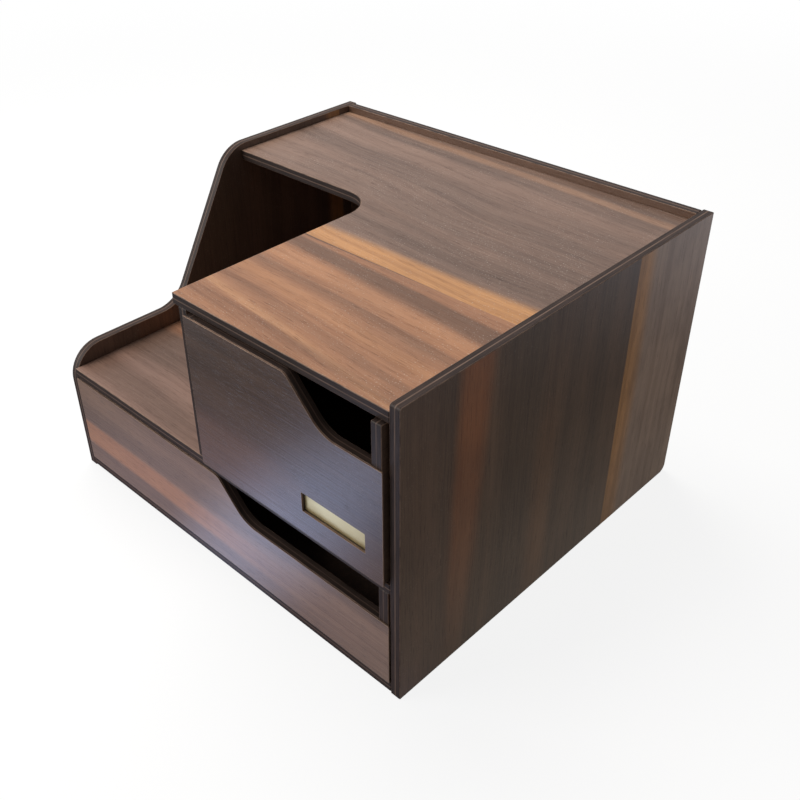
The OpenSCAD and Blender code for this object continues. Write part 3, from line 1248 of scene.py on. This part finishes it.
@dataclass
class Drawer:
    """A drawer: a thin walnut face over a board box with a thin bottom."""

    effects: Effects
    edge: Material
    body: str
    cut: FingerCut
    face_veneer: Veneer
    sheet_edge: Material
    label: LabelWindow | None = None
    seed: float = 31.0
    face: NodeBox = field(init=False)
    front: NodeBox = field(init=False)
    inner: Material = field(init=False)

    def build(self) -> None:
        """Make and dress every piece of the drawer."""
        self.face = NodeBox.of(f"{self.body}_face")
        self.front = NodeBox.of(f"{self.body}_front")
        self.inner = Veneer(
            f"walnut_{self.body}_box",
            Grain.DEEP_SIDE,
            tuple(self.front.low),
            Tones(linear(72, 56, 48), linear(92, 72, 60), linear(118, 94, 78)),
            seed=self.seed,
        ).material(self.effects)
        self._face_sheet()
        self._front_board()
        self._walls()
        self._bottom()

    def _outline(self, ends: Span) -> Outline:
        """Outline of the front, with the finger cut-out at the right.

        Args:
            ends: The left and the right end.

        Returns:
            The outline, as high as the face.
        """
        low, high = self.face.span(2)
        corner = self.face.high.x - self.cut.run
        floor_x = corner + self.cut.depth / math.tan(self.cut.angle)
        floor_z = high - self.cut.depth
        return Outline.through(
            [
                Corner(ends[0], low),
                Corner(ends[1], low),
                Corner(ends[1], floor_z),
                Corner(floor_x, floor_z, self.cut.floor_radius),
                Corner(corner, high, self.cut.top_radius),
                Corner(ends[0], high),
            ]
        )

    def _front_piece(self, box: NodeBox, name: str, depth: float | None) -> Board:
        """Board or sheet with the drawer front's outline.

        Args:
            box: The node's box.
            name: Name of the new piece.
            depth: Depth of the pocket for the label, or None for a window right through.

        Returns:
            The board, not yet built.
        """
        pockets = ()
        if self.label:
            window = Outline.rectangle(self.label.across, self.label.height, self.label.radius, hole=True)
            pockets = (Pocket(window, depth),)
        return Board(name, Plane.FRONTAL, self._outline(box.span(0)), box.span(1), SHEET_ARRIS, pockets)

    def _face_sheet(self) -> None:
        """Thin walnut sheet over the front, with a window where there is a label."""
        board = self._front_piece(self.face, f"{self.body}_face_look", None)
        sheet = self.face_veneer.material(self.effects)
        settle(board.build(sheet, self.sheet_edge), self.body, FACE_SLOT)

    def _front_board(self) -> None:
        """Front board behind the sheet, with a pocket for the label plate."""
        depth = NodeBox.of("label_plate").high.y - self.front.low.y if self.label else None
        board = self._front_piece(self.front, f"{self.body}_front_look", depth)
        settle(board.build(self.inner, self.edge), self.body, BOARD_SLOT)

    def _walls(self) -> None:
        """Two side walls and the back wall."""
        planes = {"left": Plane.SIDEWAYS, "right": Plane.SIDEWAYS, "back": Plane.FRONTAL}
        for side, plane in planes.items():
            board = plain_board(f"{self.body}_{side}_wall", plane)
            settle(board.build(self.inner, self.edge), self.body, BOARD_SLOT)

    def _bottom(self) -> None:
        """Thin bottom board."""
        thin = ThinBoard(f"pressed_board_{self.body}").material(self.effects)
        board = plain_board(f"{self.body}_bottom", Plane.LEVEL, SHEET_ARRIS)
        settle(board.build(thin, thin), self.body, THIN_SLOT)


@dataclass
class LabelPlate:
    """Bare brushed plate at the bottom of the label's window."""

    effects: Effects
    body: str = "upper_drawer"
    corner_radius: float = 0.0006

    def build(self) -> None:
        """Make and dress the plate."""
        board = plain_board("label_plate", Plane.FRONTAL, SHEET_ARRIS, self.corner_radius)
        brass = BrushedBrass("brushed_brass").material(self.effects)
        settle(board.build(brass, brass), self.body, BRASS_SLOT)


# Studio


@dataclass(frozen=True)
class SoftLamp:
    """Square soft light, aimed at a point."""

    name: str
    place: Colour
    size: float
    watts: float
    colour: Colour = (1.0, 1.0, 1.0)
    target: Colour = (0.0, 0.0, 0.1)
    mirrored: bool = True

    def build(self) -> None:
        """Add the lamp to the scene."""
        data = bpy.data.lights.new(self.name, "AREA")
        data.shape = "SQUARE"
        data.size = self.size
        data.energy = self.watts
        data.color = self.colour
        lamp = bpy.data.objects.new(self.name, data)
        direction = Vector(self.target) - Vector(self.place)
        turn = direction.to_track_quat("-Z", "Y").to_matrix().to_4x4()
        lamp.matrix_world = Matrix.Translation(self.place) @ turn
        lamp.visible_glossy = self.mirrored
        bpy.context.scene.collection.objects.link(lamp)


@dataclass(frozen=True)
class Pool:
    """Soft oval of light that the lacquer mirrors from the floor."""

    spot: Colour
    size: Colour
    colour: Colour

    def over(self, graph: Graph, place: Socket, below: object) -> Socket:
        """Lay the pool over a colour.

        Args:
            graph: The floor material's graph.
            place: Position on the floor.
            below: The colour outside the pool.

        Returns:
            The colour with the pool, which eases out at the oval's rim.
        """
        shares = graph.vector_math("DIVIDE", graph.vector_math("SUBTRACT", place, self.spot), self.size)
        return graph.mix(graph.smooth(graph.length(shares), 0.1, 1.0, 1.0, 0.0), below, self.colour)


@dataclass(frozen=True)
class Studio:
    """Pale floor, white surround and soft lamps."""

    lamps: tuple[SoftLamp, ...] = (
        SoftLamp("high_lamp", (-0.55, 0.22, 1.30), 0.9, 20.0, (1.0, 0.98, 0.95), mirrored=False),
        SoftLamp("front_lamp", (-0.75, -1.15, 0.85), 0.9, 12.0, (1.0, 0.98, 0.96)),
    )
    pools: tuple[Pool, ...] = (
        Pool((0.17, 0.0, 0.0), (0.11, 0.36, 1.0), (0.29, 0.26, 0.23)),
        Pool((-0.03, -0.185, 0.0), (0.34, 0.11, 1.0), (0.42, 0.36, 0.46)),
        Pool((0.0, -0.245, 0.0), (0.09, 0.20, 1.0), (0.95, 1.14, 1.72)),
    )
    floor_reach: float = 6.0
    floor_lines: int = 9
    floor_tone: Colour = (0.44, 0.43, 0.42)
    shadow_tone: Colour = (0.94, 0.94, 0.94)
    shadow_share: float = 0.13
    shadow_fade: Span = (0.5, 1.6)
    near_glow: Colour = (0.07, 0.07, 0.07)
    far_glow: Colour = (0.62, 0.66, 0.76)
    glow_reach: Span = (0.35, 0.75)
    surround_light: Colour = (0.18, 0.18, 0.18)
    surround_mirrored: Colour = (0.53, 0.53, 0.55)

    def build(self) -> None:
        """Make the floor, the world and the lamps."""
        self._floor()
        self._world()
        for lamp in self.lamps:
            lamp.build()
        bpy.context.scene.view_settings.view_transform = "Standard"

    def _floor(self) -> None:
        """Level floor as a grid of flat squares, white to the camera and still shaded."""
        steps = np.linspace(-self.floor_reach, self.floor_reach, self.floor_lines)
        across, deep = np.meshgrid(steps, steps)
        points = np.stack([across, deep, np.zeros_like(across)], axis=-1).reshape(-1, 3)
        number = np.arange(len(points)).reshape(across.shape)
        quads = np.stack([number[:-1, :-1], number[:-1, 1:], number[1:, 1:], number[1:, :-1]], axis=-1)
        mesh = bpy.data.meshes.new("floor")
        mesh.from_pydata(points.tolist(), [], quads.reshape(-1, 4).tolist())
        mesh.materials.append(self._floor_material())
        floor = bpy.data.objects.new("floor", mesh)
        bpy.context.scene.collection.objects.link(floor)

    def _floor_material(self) -> Material:
        """Pale floor: mostly plain white to the camera, with the rest lit, so shadows stay.

        Returns:
            The floor's material, which also holds the pools that only mirrored rays meet.
        """
        graph, shader, place = start_material("pale_floor")
        graph.tree.nodes.remove(shader)
        rays = graph.node("ShaderNodeLightPath").outputs
        mirrored = graph.plus(rays["Is Glossy Ray"], rays["Is Transmission Ray"])
        reach = graph.length(place)
        far = graph.smooth(reach, self.glow_reach[0], self.glow_reach[1])
        glow = graph.mix(far, self.near_glow, self.far_glow)
        for pool in self.pools:
            glow = pool.over(graph, place, glow)
        seen = graph.mix(mirrored, WHITE, glow)
        emission = graph.node("ShaderNodeEmission", {"Color": seen, "Strength": 1.0})
        tone = graph.mix(rays["Is Camera Ray"], self.floor_tone, self.shadow_tone)
        diffuse = graph.node("ShaderNodeBsdfDiffuse", {"Color": tone})
        unlit = graph.smooth(reach, self.shadow_fade[0], self.shadow_fade[1], 1 - self.shadow_share, 1.0)
        plain = graph.times(rays["Is Camera Ray"], unlit)
        share = graph.math("MAXIMUM", plain, mirrored)
        both = graph.node("ShaderNodeMixShader", {0: share, 1: diffuse.outputs[0], 2: emission.outputs[0]})
        graph.put(graph.tree.nodes["Material Output"].inputs["Surface"], both.outputs[0])
        return graph.material

    def _world(self) -> None:
        """Surround: white to the camera, half bright in reflections, and a low even light elsewhere."""
        world = bpy.data.worlds.new("surround")
        world.use_nodes = True
        bpy.context.scene.world = world
        graph = Graph(world.node_tree)
        rays = graph.node("ShaderNodeLightPath").outputs
        unseen = graph.mix(rays["Is Glossy Ray"], self.surround_light, self.surround_mirrored)
        seen = graph.mix(rays["Is Camera Ray"], unseen, WHITE)
        graph.put(world.node_tree.nodes["Background"].inputs["Color"], seen)


@dataclass(frozen=True)
class Viewpoint:
    """The camera: where it stands, what it looks at, and how its picture is framed."""

    place: Colour = (0.42104, -0.42237, 0.48295)
    target: Colour = (0.02812, -0.03932, 0.100)
    roll: float = -0.02797
    lens: float = 44.587
    shift: Span = (0.05222, -0.00576)
    sensor_width: float = 36.0
    nearest: float = 0.01

    def build(self) -> None:
        """Add the camera and make it the scene's own."""
        data = bpy.data.cameras.new("camera")
        data.sensor_width = self.sensor_width
        data.lens = self.lens
        data.shift_x, data.shift_y = self.shift
        data.clip_start = self.nearest
        forward = (Vector(self.target) - Vector(self.place)).normalized()
        right = forward.cross(Vector((0, 0, 1))).normalized()
        up = right.cross(forward)
        cosine, sine = math.cos(self.roll), math.sin(self.roll)
        rolled_right = cosine * right + sine * up
        rolled_up = cosine * up - sine * right
        turn = Matrix((rolled_right, rolled_up, -forward)).transposed().to_4x4()
        camera = bpy.data.objects.new("camera", data)
        camera.matrix_world = Matrix.Translation(self.place) @ turn
        bpy.context.scene.collection.objects.link(camera)
        bpy.context.scene.camera = camera


def upper_face_veneer() -> Veneer:
    """Dark, even sheet with fine lines for the upper drawer's face."""
    return Veneer(
        "walnut_upper_face",
        Grain.ACROSS_FRONT,
        tuple(NodeBox.of("upper_drawer_face").low),
        Tones(linear(69, 51, 41), linear(87, 66, 53), linear(116, 91, 75)),
        seed=41.0,
        wander=0.006,
        roughness=0.34,
        coat=0.8,
        coat_roughness=0.24,
        relief=0.85,
        streaks=(
            # Painted reflection: this band is a warm reddish patch at the lower left of the face, fading
            # out to the right.
            Streak(0.022, 0.012, linear(136, 98, 80), 0.4, 0.014, 0.018, slope=0.02, fade=(0.05, 0.11)),
        ),
    )


def lower_face_veneer() -> Veneer:
    """Warmer sheet with an orange-brown streak along the lower drawer's face."""
    return Veneer(
        "walnut_lower_face",
        Grain.ACROSS_FRONT,
        tuple(NodeBox.of("lower_drawer_face").low),
        Tones(linear(116, 92, 76), linear(143, 114, 94), linear(172, 142, 120)),
        seed=45.5,
        wander=0.008,
        roughness=0.34,
        coat=0.8,
        coat_roughness=0.24,
        relief=0.85,
        streaks=(
            Streak(0.026, 0.007, linear(198, 136, 94), 0.8, 0.005, 0.005, slope=-0.01, fade=(0.10, 0.26)),
            Streak(0.046, 0.004, linear(104, 84, 68), 0.5, 0.006, 0.010, slope=0.01),
        ),
    )


def main() -> None:
    """Build the organizer piece by piece, then the studio and the camera."""
    logging.basicConfig(level=logging.INFO, format="%(message)s")
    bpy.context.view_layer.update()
    effects = Effects()
    edge = CutEdge("stained_ply_edge").material(effects)
    drawer_edge = CutEdge("stained_drawer_edge", core_strength=0.35).material(effects)
    # The veneer sheet's edge has a strong pale arris: partly wear, partly a painted highlight.
    sheet_edge = CutEdge(
        "walnut_sheet_edge",
        plies=linear(140, 114, 98),
        glue=linear(88, 70, 60),
        worn_and_highlit=linear(200, 172, 150),
        core_strength=0.0,
        wear_and_highlight=0.85,
    ).material(effects)
    Case(effects, edge).build()
    plate = NodeBox.of("label_plate")
    label = LabelWindow(plate.span(0), plate.span(2))
    upper_cut = FingerCut(0.071, 0.028)
    lower_cut = FingerCut(0.150, 0.025)
    upper, lower = upper_face_veneer(), lower_face_veneer()
    Drawer(effects, drawer_edge, "upper_drawer", upper_cut, upper, sheet_edge, label).build()
    Drawer(effects, drawer_edge, "lower_drawer", lower_cut, lower, sheet_edge, seed=37.0).build()
    LabelPlate(effects).build()
    Studio().build()
    Viewpoint().build()


if __name__ == "__main__":
    main()
